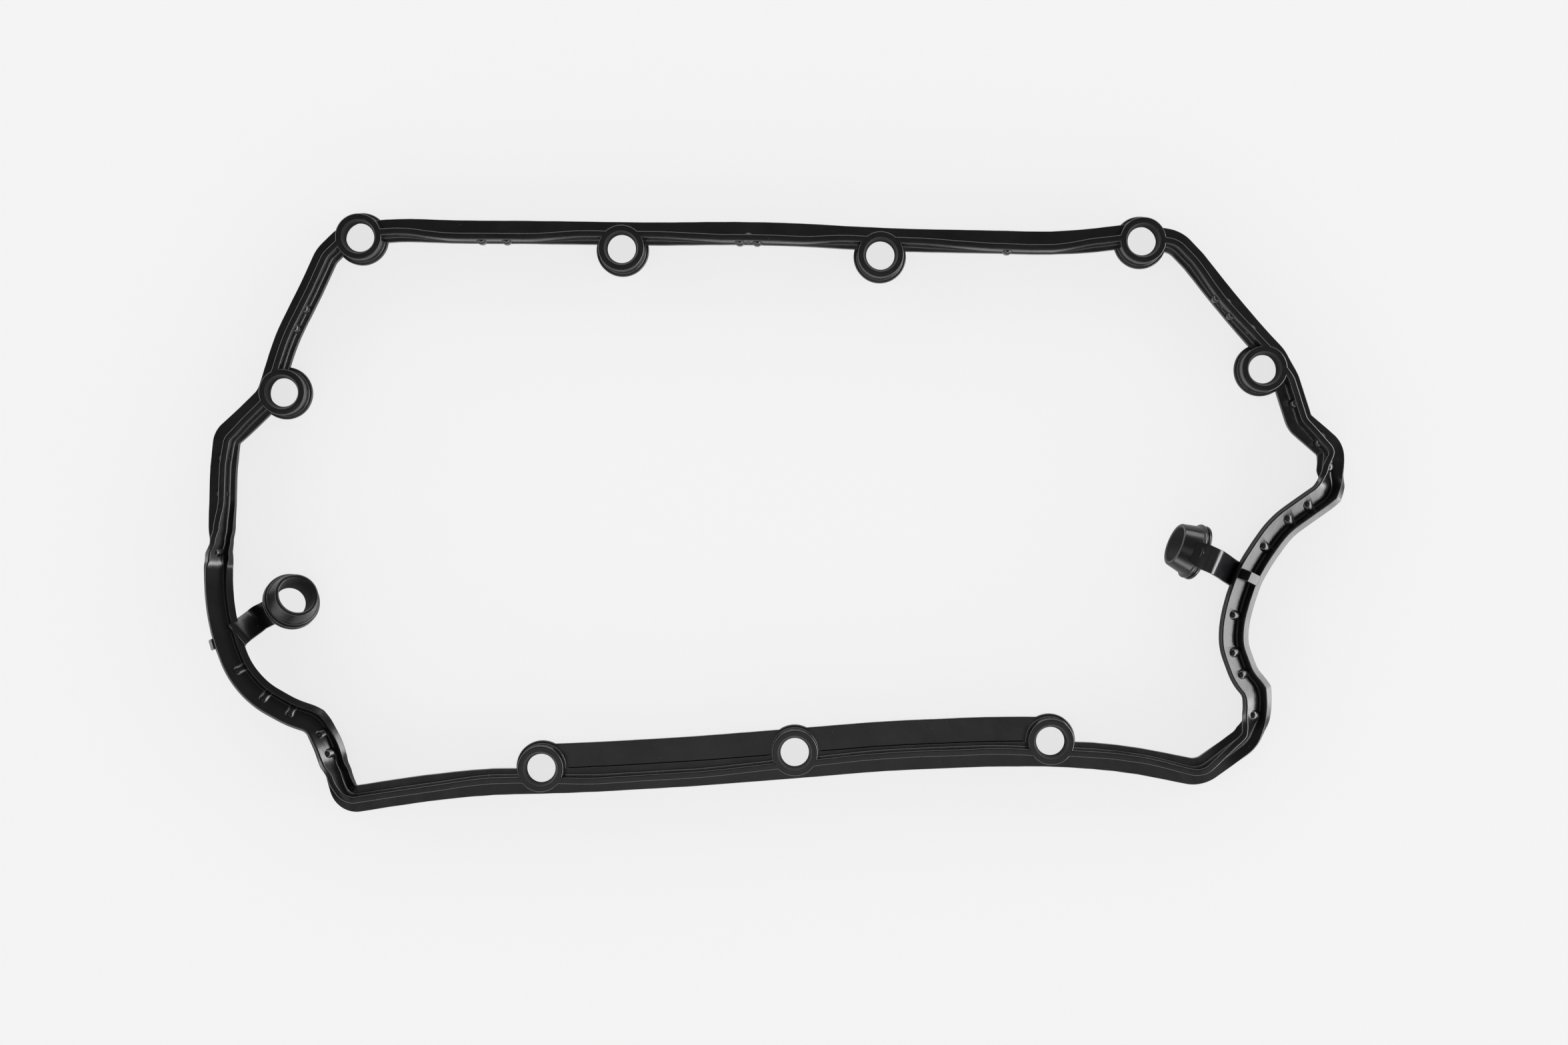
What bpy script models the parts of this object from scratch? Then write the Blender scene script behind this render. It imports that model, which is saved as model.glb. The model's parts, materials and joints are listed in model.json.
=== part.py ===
"""Moulded rubber valve cover gasket for a four-cylinder engine head.

One rubber moulding: a T section (flat sealing flange and upright rib) run round a closed
loop, nine bolt eyelets, a flat web along the three lower bolts, a lug and a strapped tube at
each cam arch, and small crush nubs beside the rib. It lies as it comes to rest on a table:
the bolt runs are flat, and the free arches have rolled over.
Lengths are millimetres in the sizes below and are turned into metres where meshes are made.
"""
import math
from collections import namedtuple

import bmesh
import bpy
from mathutils import Matrix, Vector

MM = 0.001

# T section
SEAL_HEIGHT = 8.5
FLANGE_THICKNESS = 2.3
RIB_THICKNESS = 2.4
RIB_EDGE = 0.4
ROOT_FILLET = 0.5
TOP_FLANGE = 7.6
SLANT_FLANGE = 7.9
SIDE_FLANGE = 8.8
ARCH_FLANGE = 7.9
SPREAD_FLANGE = 8.3

# Where the rib stands on the flange, measured inward from the flange's middle
OUTER_RIB = -0.3
CENTRED_RIB = 0.3
EYELET_RIB = 1.1
SIDE_RIB = 1.7
TOP_RIB = 2.3

# Bolt eyelets
BORE_DIAMETER = 9.8
BORE_CHAMFER = 0.9
BORE_UNDER_CHAMFER = 0.45
EYELET_WALL = 2.8
EYELET_LIP = 1.1
EYELET_EDGE = 0.5

# Bolt places on the head, from the middle of the cover
BOLTS = {
    "top_left": (-141.7, 95.3),
    "top_mid_left": (-54.2, 91.5),
    "top_mid_right": (32.2, 89.3),
    "top_right": (119.6, 94.1),
    "right": (160.0, 51.3),
    "low_right": (89.0, -73.0),
    "low_mid": (3.6, -76.7),
    "low_left": (-81.1, -82.0),
    "left": (-167.2, 43.5),
}

# How far the section has rolled about its run, in degrees, rib towards the inside positive
FULL_ROLL = 63.0

# Corner radii of the run, in its middle line
SOFT_RADIUS = 400.0
BEND_RADIUS = 9.0
TIGHT_RADIUS = 5.4
Corner = namedtuple("Corner", "radius pointed")
SOFT = Corner(SOFT_RADIUS, False)
BEND = Corner(BEND_RADIUS, False)
TIGHT = Corner(TIGHT_RADIUS, False)
POINTED = Corner(BEND_RADIUS, True)

# Flat web along the lower bolts
WEB_WIDTH = 8.3
WEB_THICKNESS = 1.7

# Lug at the top of each arch, with a top that rises to the rib
LUG_LENGTH = 3.6
LUG_HEIGHT = 4.4
LUG_RISE = 0.8
LUG_PAST_FLANGE = 3.0
LUG_SPREAD = 45.0

# Crush nubs beside the rib
NUB_RADIUS = 1.5
NUB_HEIGHT = 4.4
NUB_OUT = 1.1
NUB_SHOULDER = math.radians(45)

# Strapped tubes
TUBE_LENGTH = 8.8
TUBE_BORE = 10.2
TUBE_MOUTH = 12.0
TUBE_MOUTH_WALL = 1.2
TUBE_FOOT_WALL = 3.5
DISC_LIP = 0.8
DISC_THICKNESS = 2.6
DISC_GROOVE = 0.7
TUBE_EDGE = 0.4
STRAP_WIDTH = 8.6
STRAP_THICKNESS = 1.5

# Most of a straight that one corner's arc takes, and of the flange's shelf that a fillet takes
ARC_SHARE = 0.46
FILLET_SHARE = 0.8

# Fineness of the curves
LEAST_TURN = math.radians(0.5)
ARC_STEP = 14.0
LONGEST_STEP = 11.0
EYELET_SIDES = 28
TUBE_SIDES = 28
NUB_SIDES = 10
SHARP_FROM = math.radians(35)

# How far a piece is sunk into the one that it joins, and a cutter stands past the rubber
OVERLAP = 0.5
CUTTER_PAST = 1.0

# The run, clockwise seen from above: bolt that the point keeps its place to, place from that
# bolt, corner radius, flange width, rib place, share of the full roll
RUN = [
    ("top_left", 12.2, 3.2, SOFT, TOP_FLANGE, EYELET_RIB, 0.0),
    ("top_left", 30.5, 2.4, SOFT, TOP_FLANGE, TOP_RIB, 0.0),
    ("top_mid_left", -32.5, 6.1, SOFT, TOP_FLANGE, TOP_RIB, 0.0),
    ("top_mid_left", -10.5, 5.8, SOFT, TOP_FLANGE, EYELET_RIB, 0.0),
    ("top_mid_left", 10.5, 5.5, SOFT, TOP_FLANGE, EYELET_RIB, 0.0),
    ("top_mid_right", -48.9, 8.0, SOFT, TOP_FLANGE, TOP_RIB, 0.0),
    ("top_mid_right", -27.0, 7.5, SOFT, TOP_FLANGE, TOP_RIB, 0.0),
    ("top_mid_right", -9.7, 6.4, SOFT, TOP_FLANGE, EYELET_RIB, 0.0),
    ("top_mid_right", 9.3, 5.6, SOFT, TOP_FLANGE, EYELET_RIB, 0.0),
    ("top_right", -46.9, 0.2, SOFT, TOP_FLANGE, TOP_RIB, 0.0),
    ("top_right", -30.1, -0.3, SOFT, TOP_FLANGE, TOP_RIB, 0.0),
    ("top_right", -14.4, 0.8, SOFT, SLANT_FLANGE, EYELET_RIB, 0.0),
    ("top_right", -2.1, 2.5, SOFT, SLANT_FLANGE, EYELET_RIB, 0.0),
    ("top_right", 11.8, 0.3, BEND, SLANT_FLANGE, EYELET_RIB, 0.0),
    ("top_right", 18.1, -6.2, BEND, SLANT_FLANGE, EYELET_RIB, 0.0),
    ("right", -12.1, 23.6, SOFT, SLANT_FLANGE, SIDE_RIB, 0.0),
    ("right", -1.5, 11.2, SOFT, SLANT_FLANGE, EYELET_RIB, 0.0),
    ("right", 5.0, 4.3, BEND, SLANT_FLANGE, EYELET_RIB, 0.0),
    ("right", 8.8, -3.8, BEND, SIDE_FLANGE, OUTER_RIB, 0.0),
    ("right", 13.2, -17.6, TIGHT, SIDE_FLANGE, OUTER_RIB, 0.0),
    ("right", 23.7, -26.7, TIGHT, SIDE_FLANGE, EYELET_RIB, 0.0),
    ("right", 23.4, -33.7, SOFT, SIDE_FLANGE, EYELET_RIB, 0.3),
    ("right", 21.4, -41.5, POINTED, ARCH_FLANGE, CENTRED_RIB, 1.0),
    ("right", 6.0, -52.4, SOFT, ARCH_FLANGE, CENTRED_RIB, 1.0),
    ("right", 0.0, -60.4, SOFT, ARCH_FLANGE, CENTRED_RIB, 1.0),
    ("right", -4.9, -68.4, SOFT, ARCH_FLANGE, CENTRED_RIB, 1.0),
    ("right", -7.9, -76.6, SOFT, ARCH_FLANGE, CENTRED_RIB, 1.0),
    ("right", -10.0, -84.8, SOFT, ARCH_FLANGE, CENTRED_RIB, 1.0),
    ("right", -10.3, -92.3, SOFT, ARCH_FLANGE, CENTRED_RIB, 1.0),
    ("right", -6.5, -102.6, SOFT, ARCH_FLANGE, CENTRED_RIB, 1.0),
    ("low_right", 68.6, 17.0, POINTED, ARCH_FLANGE, CENTRED_RIB, 1.0),
    ("low_right", 68.7, 10.2, SOFT, ARCH_FLANGE, CENTRED_RIB, 0.85),
    ("low_right", 66.8, 0.9, BEND, SIDE_FLANGE, CENTRED_RIB, 0.3),
    ("low_right", 50.4, -11.3, BEND, SIDE_FLANGE, CENTRED_RIB, 0.0),
    ("low_right", 30.5, -7.1, SOFT, SIDE_FLANGE, EYELET_RIB, 0.0),
    ("low_right", 14.8, -5.2, SOFT, SIDE_FLANGE, EYELET_RIB, 0.0),
    ("low_right", -0.9, -4.7, SOFT, SPREAD_FLANGE, EYELET_RIB, 0.0),
    ("low_right", -21.1, -4.8, SOFT, SPREAD_FLANGE, SIDE_RIB, 0.0),
    ("low_mid", 30.8, -2.5, SOFT, SPREAD_FLANGE, SIDE_RIB, 0.0),
    ("low_mid", -0.6, -5.1, SOFT, SPREAD_FLANGE, EYELET_RIB, 0.0),
    ("low_left", 50.6, -2.4, SOFT, SPREAD_FLANGE, CENTRED_RIB, 0.0),
    ("low_left", 19.2, -4.2, SOFT, SPREAD_FLANGE, CENTRED_RIB, 0.0),
    ("low_left", -0.6, -5.0, SOFT, SPREAD_FLANGE, EYELET_RIB, 0.0),
    ("low_left", -16.6, -4.9, SOFT, SIDE_FLANGE, EYELET_RIB, 0.0),
    ("low_left", -39.0, -7.1, SOFT, SIDE_FLANGE, CENTRED_RIB, 0.0),
    ("low_left", -65.5, -11.4, TIGHT, SIDE_FLANGE, CENTRED_RIB, 0.0),
    ("low_left", -68.2, -3.1, SOFT, SIDE_FLANGE, CENTRED_RIB, -0.25),
    ("low_left", -69.9, 6.1, SOFT, SIDE_FLANGE, CENTRED_RIB, -0.7),
    ("low_left", -75.0, 16.0, POINTED, ARCH_FLANGE, CENTRED_RIB, -1.0),
    ("low_left", -82.6, 18.4, SOFT, ARCH_FLANGE, CENTRED_RIB, -1.0),
    ("low_left", -93.4, 24.6, SOFT, ARCH_FLANGE, CENTRED_RIB, -1.0),
    ("low_left", -100.1, 32.3, SOFT, ARCH_FLANGE, CENTRED_RIB, -1.0),
    ("left", -18.0, -84.2, SOFT, ARCH_FLANGE, CENTRED_RIB, -1.0),
    ("left", -20.4, -74.9, SOFT, ARCH_FLANGE, CENTRED_RIB, -1.0),
    ("left", -21.6, -66.0, SOFT, ARCH_FLANGE, CENTRED_RIB, -0.8),
    ("left", -21.8, -55.1, SOFT, SIDE_FLANGE, CENTRED_RIB, -0.45),
    ("left", -21.5, -44.8, SOFT, SIDE_FLANGE, SIDE_RIB, 0.0),
    ("left", -21.1, -24.7, SOFT, SIDE_FLANGE, SIDE_RIB, 0.0),
    ("left", -19.9, -14.8, TIGHT, SIDE_FLANGE, SIDE_RIB, 0.0),
    ("left", -12.2, -7.8, SOFT, SIDE_FLANGE, EYELET_RIB, 0.0),
    ("left", -5.6, -1.2, BEND, SIDE_FLANGE, EYELET_RIB, 0.0),
    ("left", -3.6, 6.7, BEND, SLANT_FLANGE, EYELET_RIB, 0.0),
    ("left", 0.0, 18.2, SOFT, SLANT_FLANGE, EYELET_RIB, 0.0),
    ("top_left", -17.2, -17.0, BEND, SLANT_FLANGE, EYELET_RIB, 0.0),
    ("top_left", -12.0, -5.6, BEND, SLANT_FLANGE, EYELET_RIB, 0.0),
    ("top_left", -5.0, 1.2, BEND, SLANT_FLANGE, EYELET_RIB, 0.0),
]

# Crush nubs: bolt, place from that bolt, side of the rib (1 inside the loop, -1 outside)
NUBS = [
    ("top_left", 41.0, 0.0, 1),
    ("top_left", 48.7, 0.0, 1),
    ("top_mid_left", 39.0, 2.0, 1),
    ("top_mid_left", 45.6, 2.0, 1),
    ("top_mid_left", 42.0, 8.0, -1),
    ("top_right", -44.7, -3.0, 1),
    ("right", -15.7, 24.0, 1),
    ("right", -10.6, 18.0, 1),
    ("right", -9.2, 24.5, -1),
    ("right", -2.2, 15.5, -1),
    ("right", 9.5, -11.5, 1),
    ("right", 19.0, -22.5, -1),
    ("right", 18.0, -25.5, 1),
    ("right", 25.5, -33.0, -1),
    ("right", 15.5, -46.5, -1),
    ("right", 9.2, -51.0, -1),
    ("right", 1.2, -60.0, -1),
    ("right", -9.5, -82.0, -1),
    ("right", -9.5, -94.5, -1),
    ("right", -6.0, -101.5, -1),
    ("low_right", 68.5, 9.0, -1),
    ("low_left", -101.0, 32.8, 1),
    ("low_left", -91.5, 25.0, 1),
    ("low_left", -82.5, 20.0, 1),
    ("low_left", -72.8, 12.2, 1),
    ("low_left", -71.0, 5.0, 1),
    ("left", -23.5, -22.0, -1),
    ("left", -23.9, -33.5, -1),
    ("left", -20.5, -53.0, 1),
    ("left", 7.0, 28.0, 1),
    ("left", 2.8, 21.5, 1),
]

# Arch tops, where the lug and the strap are: bolt, place from that bolt
RIGHT_LUG_AT = ("right", -4.9, -69.2)
LEFT_LUG_AT = ("left", -17.9, -83.6)

# Strapped tubes: place of the disc's middle from the bolt, way the open end points seen from
# above, and its rise above level, in degrees
RIGHT_TUBE = ("right", -22.4, -61.5, 159.0, 10.0)
LEFT_TUBE = ("left", 2.2, -70.3, 36.0, 56.0)

# Strap routes: points of the middle line from the bolt, height, and share of the full width
RIGHT_STRAP = [
    ("right", -2.0, -71.5, 1.2, 1.0),
    ("right", -6.5, -69.5, 1.4, 1.0),
    ("right", -8.8, -68.4, 3.2, 1.0),
    ("right", -12.0, -67.0, 8.4, 1.0),
    ("right", -15.4, -65.4, 14.0, 1.0),
    ("right", -17.4, -64.5, 16.9, 1.0),
    ("right", -19.4, -63.6, 18.0, 1.0),
    ("right", -22.4, -62.2, 18.2, 1.0),
    ("right", -25.6, -60.8, 17.3, 0.9),
]
LEFT_STRAP = [
    ("left", -15.2, -81.5, 6.2, 1.0),
    ("left", -14.2, -80.6, 8.1, 1.0),
    ("left", -12.9, -79.4, 8.8, 1.0),
    ("left", -11.6, -78.1, 7.8, 1.0),
    ("left", -10.4, -76.8, 5.0, 1.0),
    ("left", -9.2, -75.6, 3.2, 1.0),
    ("left", -6.8, -74.5, 4.9, 1.0),
    ("left", -3.9, -73.4, 8.2, 1.0),
    ("left", -1.6, -72.6, 9.8, 0.95),
]

Station = namedtuple("Station", "x y inward width rib roll reach")


def placed(bolt, right, up):
    """Place of a point kept from a bolt."""
    return Vector((BOLTS[bolt][0] + right, BOLTS[bolt][1] + up))


def inward_of(heading):
    """Level direction to the right of a heading, which is the inside of a clockwise loop."""
    return Vector((heading.y, -heading.x))


def blend(first, second, share):
    return first + (second - first) * share


def rounding(before, here, after, radius):
    """Tangent length, turn and radius of the arc that rounds a corner of the run."""
    arriving = (here - before).normalized()
    leaving = (after - here).normalized()
    turn = arriving.angle_signed(leaving)
    if abs(turn) < LEAST_TURN:
        return 0.0, turn, 0.0
    spare = ARC_SHARE * min((here - before).length, (after - here).length)
    half = math.tan(abs(turn) / 2)
    tangent = min(radius * half, spare)
    return tangent, turn, tangent / half


def run_stations(arc_step, longest_step):
    """Stations of the closed run: rounded corners, then points along each straight."""
    count = len(RUN)
    spots = [placed(*row[:3]) for row in RUN]
    keyed = []
    for index, row in enumerate(RUN):
        before, here = spots[index - 1], spots[index]
        after = spots[(index + 1) % count]
        arriving, leaving = (here - before).normalized(), (after - here).normalized()
        tangent, turn, radius = rounding(before, here, after, row[3].radius)
        if tangent == 0.0:
            keyed.append((float(index), here, inward_of(arriving), 0.0))
            continue
        steps = max(1, math.ceil(abs(math.degrees(turn)) / arc_step))
        if row[3].pointed:
            steps += steps % 2
        start = here - arriving * tangent
        side = inward_of(arriving) * (1 if turn > 0 else -1)
        centre = start + side * radius
        early = index - tangent / (here - before).length
        late = index + tangent / (after - here).length
        for step in range(steps + 1):
            share = step / steps
            turned = Matrix.Rotation(-turn * share, 2)
            spot = centre - turned @ (side * radius)
            reach = 0.0
            if row[3].pointed:
                off = abs(turn) * min(share, 1 - share)
                reach = math.copysign((radius + row[4] / 2) * (1 / math.cos(off) - 1), -turn)
            keyed.append((blend(early, late, share), spot, inward_of(turned @ arriving), reach))
    stations = []
    for index, (key, spot, inward, reach) in enumerate(keyed):
        next_key, next_spot = keyed[(index + 1) % len(keyed)][:2]
        if next_key < key:
            next_key += count
        stations.append(station_at(key, spot, inward, reach))
        parts = max(1, math.ceil((next_spot - spot).length / longest_step))
        for part in range(1, parts):
            share = part / parts
            way = inward_of((next_spot - spot).normalized())
            stations.append(
                station_at(blend(key, next_key, share), spot.lerp(next_spot, share), way, 0.0)
            )
    return stations


def station_at(key, spot, inward, reach):
    """A station with its section worked out between the two run points that it lies between."""
    first = RUN[math.floor(key) % len(RUN)]
    second = RUN[(math.floor(key) + 1) % len(RUN)]
    share = key - math.floor(key)
    eased = share * share * (3 - 2 * share)
    width = blend(first[4], second[4], eased)
    rib = blend(first[5], second[5], eased)
    roll = math.radians(FULL_ROLL) * blend(first[6], second[6], eased)
    return Station(spot.x, spot.y, inward, width, rib, roll, reach)


def section(station):
    """The T section: inward across the flange, and up. A pointed corner reaches out further."""
    half = station.width / 2
    inner = half + max(station.reach, 0.0)
    outer = half - min(station.reach, 0.0)
    near, far = station.rib - RIB_THICKNESS / 2, station.rib + RIB_THICKNESS / 2
    shelf = half - abs(station.rib) - RIB_THICKNESS / 2
    root = min(ROOT_FILLET, FILLET_SHARE * shelf)
    return [
        (-outer, 0.0),
        (inner, 0.0),
        (inner, FLANGE_THICKNESS),
        (far + root, FLANGE_THICKNESS),
        (far, FLANGE_THICKNESS + root),
        (far, SEAL_HEIGHT - RIB_EDGE),
        (far - RIB_EDGE, SEAL_HEIGHT),
        (near + RIB_EDGE, SEAL_HEIGHT),
        (near, SEAL_HEIGHT - RIB_EDGE),
        (near, FLANGE_THICKNESS + root),
        (near - root, FLANGE_THICKNESS),
        (-outer, FLANGE_THICKNESS),
    ]


def rolled(station, across, up):
    """A point of the section once rolled, before it is set on the table."""
    cos, sin = math.cos(station.roll), math.sin(station.roll)
    return across * cos + up * sin, up * cos - across * sin


def propped(station, lift):
    """Extra lift near a lug that the roll has turned under, fading out along the run."""
    outer = -station.width / 2 - LUG_PAST_FLANGE
    depth = rolled(station, outer, FLANGE_THICKNESS - OVERLAP)[1] + lift
    fade = 0.0
    for spot in (RIGHT_LUG_AT, LEFT_LUG_AT):
        away = (placed(*spot) - Vector((station.x, station.y))).length / LUG_SPREAD
        fade = max(fade, 1 - away * away)
    return max(0.0, -depth) * fade * fade


def seat(station):
    """Sideways and upward shift that centres the rolled section on its run and grounds it."""
    corners = [rolled(station, *point) for point in section(station._replace(reach=0.0))]
    sides = [point[0] for point in corners]
    lift = -min(point[1] for point in corners)
    return -(min(sides) + max(sides)) / 2, lift + propped(station, lift)


def in_space(station, across, up):
    """Place in space of a point given in a station's own section."""
    shift, lift = seat(station)
    side, height = rolled(station, across, up)
    plan = Vector((station.x, station.y)) + station.inward * (side + shift)
    return Vector((plan.x, plan.y, height + lift))


def loft(name, rings, closed):
    """A solid through rings of points, either closed on itself or capped at both ends."""
    mesh = bmesh.new()
    rows = [[mesh.verts.new(point * MM) for point in ring] for ring in rings]
    size = len(rows[0])
    for index in range(len(rows) if closed else len(rows) - 1):
        here, there = rows[index], rows[(index + 1) % len(rows)]
        for side in range(size):
            after = (side + 1) % size
            mesh.faces.new((here[side], here[after], there[after], there[side]))
    if not closed:
        mesh.faces.new(rows[0])
        mesh.faces.new(rows[-1])
    bmesh.ops.recalc_face_normals(mesh, faces=mesh.faces)
    return object_from(name, mesh)


def object_from(name, mesh):
    data = bpy.data.meshes.new(name)
    mesh.to_mesh(data)
    mesh.free()
    data.shade_smooth()
    data.set_sharp_from_angle(angle=SHARP_FROM)
    made = bpy.data.objects.new(name, data)
    bpy.context.scene.collection.objects.link(made)
    return made


def turned(name, profile, sides):
    """A solid turned about the upright axis from a profile that runs down its outer side."""
    mesh = bmesh.new()
    points = [mesh.verts.new(Vector((radius, 0.0, height)) * MM) for radius, height in profile]
    for first, second in zip(points, points[1:]):
        mesh.edges.new((first, second))
    if profile[0][0] > 0:
        mesh.edges.new((points[-1], points[0]))
    made = object_from(name, mesh)
    screw = made.modifiers.new("Turn", "SCREW")
    screw.steps = sides
    screw.render_steps = sides
    screw.use_merge_vertices = True
    screw.merge_threshold = 0.00001
    return made


def realised(made):
    """The object with its modifiers applied."""
    graph = bpy.context.evaluated_depsgraph_get()
    data = bpy.data.meshes.new_from_object(made.evaluated_get(graph))
    old = made.data
    made.modifiers.clear()
    made.data = data
    data.set_sharp_from_angle(angle=SHARP_FROM)
    bpy.data.meshes.remove(old)
    return made


def copies_at(name, pattern, matrices):
    """One object with a copy of a mesh at each place."""
    mesh = bmesh.new()
    for matrix in matrices:
        data = pattern.data.copy()
        data.transform(matrix)
        mesh.from_mesh(data)
        bpy.data.meshes.remove(data)
    bpy.data.objects.remove(pattern)
    return object_from(name, mesh)


def placement(place, axes):
    """Matrix from an origin and three axes, in metres."""
    matrix = Matrix((axes[0], axes[1], axes[2])).transposed().to_4x4()
    matrix.translation = place * MM
    return matrix


def eyelets():
    """The nine bolt eyelets, still solid."""
    wall = BORE_DIAMETER / 2 + EYELET_WALL
    lip = wall + EYELET_LIP
    profile = [
        (0.0, SEAL_HEIGHT),
        (wall - EYELET_EDGE, SEAL_HEIGHT),
        (wall, SEAL_HEIGHT - EYELET_EDGE),
        (wall, FLANGE_THICKNESS),
        (lip, FLANGE_THICKNESS),
        (lip, 0.0),
        (0.0, 0.0),
    ]
    pattern = realised(turned("eyelet", profile, EYELET_SIDES))
    places = [Matrix.Translation(Vector((*BOLTS[bolt], 0.0)) * MM) for bolt in BOLTS]
    return copies_at("eyelets", pattern, places)


def bores():
    """The bolt bores, chamfered at both mouths."""
    radius = BORE_DIAMETER / 2
    profile = [
        (0.0, SEAL_HEIGHT + CUTTER_PAST),
        (radius + BORE_CHAMFER + CUTTER_PAST, SEAL_HEIGHT + CUTTER_PAST),
        (radius, SEAL_HEIGHT - BORE_CHAMFER),
        (radius, BORE_UNDER_CHAMFER),
        (radius + BORE_UNDER_CHAMFER + CUTTER_PAST, -CUTTER_PAST),
        (0.0, -CUTTER_PAST),
    ]
    pattern = realised(turned("bore", profile, EYELET_SIDES))
    places = [Matrix.Translation(Vector((*BOLTS[bolt], 0.0)) * MM) for bolt in BOLTS]
    return copies_at("bores", pattern, places)


def nearest(stations, bolt, right, up):
    """The station of the run, or a point between two, nearest to a place."""
    spot = placed(bolt, right, up)
    best = None
    for here, there in zip(stations, stations[1:] + stations[:1]):
        start, end = Vector((here.x, here.y)), Vector((there.x, there.y))
        along = end - start
        share = min(1.0, max(0.0, (spot - start).dot(along) / along.length_squared))
        found = start.lerp(end, share)
        gap = (spot - found).length
        if best is None or gap < best[0]:
            between = Station(
                found.x,
                found.y,
                here.inward.lerp(there.inward, share).normalized(),
                blend(here.width, there.width, share),
                blend(here.rib, there.rib, share),
                blend(here.roll, there.roll, share),
                0.0,
            )
            best = (gap, between)
    return best[1]


def section_axes(station):
    """Directions in space along the run, across the section and up the rib."""
    cos, sin = math.cos(station.roll), math.sin(station.roll)
    inward = Vector((station.inward.x, station.inward.y, 0.0))
    across = inward * cos - Vector((0.0, 0.0, sin))
    up = inward * sin + Vector((0.0, 0.0, cos))
    return up.cross(across), across, up


def nubs(stations):
    """The crush nubs, half sunk in the rib's side and standing on the flange."""
    low = FLANGE_THICKNESS - OVERLAP
    straight = FLANGE_THICKNESS + NUB_HEIGHT - NUB_RADIUS
    profile = [
        (0.0, straight + NUB_RADIUS),
        (NUB_RADIUS * math.sin(NUB_SHOULDER), straight + NUB_RADIUS * math.cos(NUB_SHOULDER)),
        (NUB_RADIUS, straight),
        (NUB_RADIUS, low),
        (0.0, low),
    ]
    pattern = realised(turned("nub", profile, NUB_SIDES))
    places = []
    for bolt, right, up, side in NUBS:
        station = nearest(stations, bolt, right, up)
        out = station.rib + side * (RIB_THICKNESS / 2 + NUB_OUT - NUB_RADIUS)
        places.append(placement(in_space(station, out, 0.0), section_axes(station)))
    return copies_at("nubs", pattern, places)


def lugs(stations):
    """The square lug outside the rib at the top of each arch."""
    mesh = bmesh.new()
    for spot in (RIGHT_LUG_AT, LEFT_LUG_AT):
        station = nearest(stations, *spot)
        inner = station.rib - RIB_THICKNESS / 2 + OVERLAP
        outer = -station.width / 2 - LUG_PAST_FLANGE
        low, high = FLANGE_THICKNESS - OVERLAP, FLANGE_THICKNESS + LUG_HEIGHT
        middle = in_space(station, (inner + outer) / 2, (low + high) / 2)
        size = Matrix.Diagonal((LUG_LENGTH * MM, (inner - outer) * MM, (high - low) * MM, 1.0))
        made = bmesh.ops.create_cube(mesh, size=1.0, matrix=size)["verts"]
        for corner in made:
            if corner.co.y > 0 and corner.co.z > 0:
                corner.co.z += LUG_RISE * MM
        bmesh.ops.transform(mesh, matrix=placement(middle, section_axes(station)), verts=made)
    return object_from("lugs", mesh)


def web(stations):
    """The flat web inside the run between the outer two lower bolts."""
    start, end = BOLTS["low_right"], BOLTS["low_left"]
    rings = []
    for station in stations:
        if station.y > 0 or not end[0] <= station.x <= start[0]:
            continue
        near, far = station.width / 2 - OVERLAP, station.width / 2 + WEB_WIDTH
        rings.append(
            [
                in_space(station, near, 0.0),
                in_space(station, far, 0.0),
                in_space(station, far, WEB_THICKNESS),
                in_space(station, near, WEB_THICKNESS),
            ]
        )
    return loft("web", rings, False)


def tube_frame(bolt, right, up, way, rise):
    """Place of a tube's disc and the tube's axes, its own axis last."""
    plan, climb = math.radians(way), math.radians(rise)
    axis = Vector((math.cos(plan) * math.cos(climb), math.sin(plan) * math.cos(climb), math.sin(climb)))
    side = Vector((-math.sin(plan), math.cos(plan), 0.0))
    disc = TUBE_BORE / 2 + TUBE_FOOT_WALL + DISC_LIP
    place = placed(bolt, right, up).to_3d()
    place.z = disc * math.cos(climb)
    return place, (side.cross(axis).normalized(), side, axis)


def tube(name, spec):
    """A strapped tube: grooved disc at its foot and a bore that widens at the open end."""
    mouth = TUBE_MOUTH / 2
    top = mouth + TUBE_MOUTH_WALL
    foot = TUBE_BORE / 2 + TUBE_FOOT_WALL
    disc = foot + DISC_LIP
    rim = (DISC_THICKNESS - DISC_GROOVE) / 2
    profile = [
        (mouth, TUBE_LENGTH),
        (top - TUBE_EDGE, TUBE_LENGTH),
        (top, TUBE_LENGTH - TUBE_EDGE),
        (foot, DISC_THICKNESS),
        (disc, DISC_THICKNESS),
        (disc, DISC_THICKNESS - rim),
        (foot, DISC_THICKNESS - rim),
        (foot, rim),
        (disc, rim),
        (disc, 0.0),
        (TUBE_BORE / 2, 0.0),
    ]
    made = realised(turned(name, profile, TUBE_SIDES))
    made.data.transform(placement(*tube_frame(*spec)))
    return made


def ribbon(name, route):
    """A strap: a flat ribbon along a route, level across."""
    spots = [Vector((*placed(*row[:3]), row[3])) for row in route]
    rings = []
    for index, row in enumerate(route):
        ahead = spots[min(index + 1, len(spots) - 1)]
        behind = spots[max(index - 1, 0)]
        along = (ahead - behind).normalized()
        across = Vector((along.y, -along.x, 0.0)).normalized()
        thick = across.cross(along)
        wide = across * (STRAP_WIDTH * row[4] / 2)
        half = thick * (STRAP_THICKNESS / 2)
        here = spots[index]
        rings.append([here - wide - half, here + wide - half, here + wide + half, here - wide + half])
    return loft(name, rings, False)


def combine(target, name, tool, operation):
    step = target.modifiers.new(name, "BOOLEAN")
    step.operation = operation
    step.solver = "EXACT"
    step.object = tool


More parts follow.
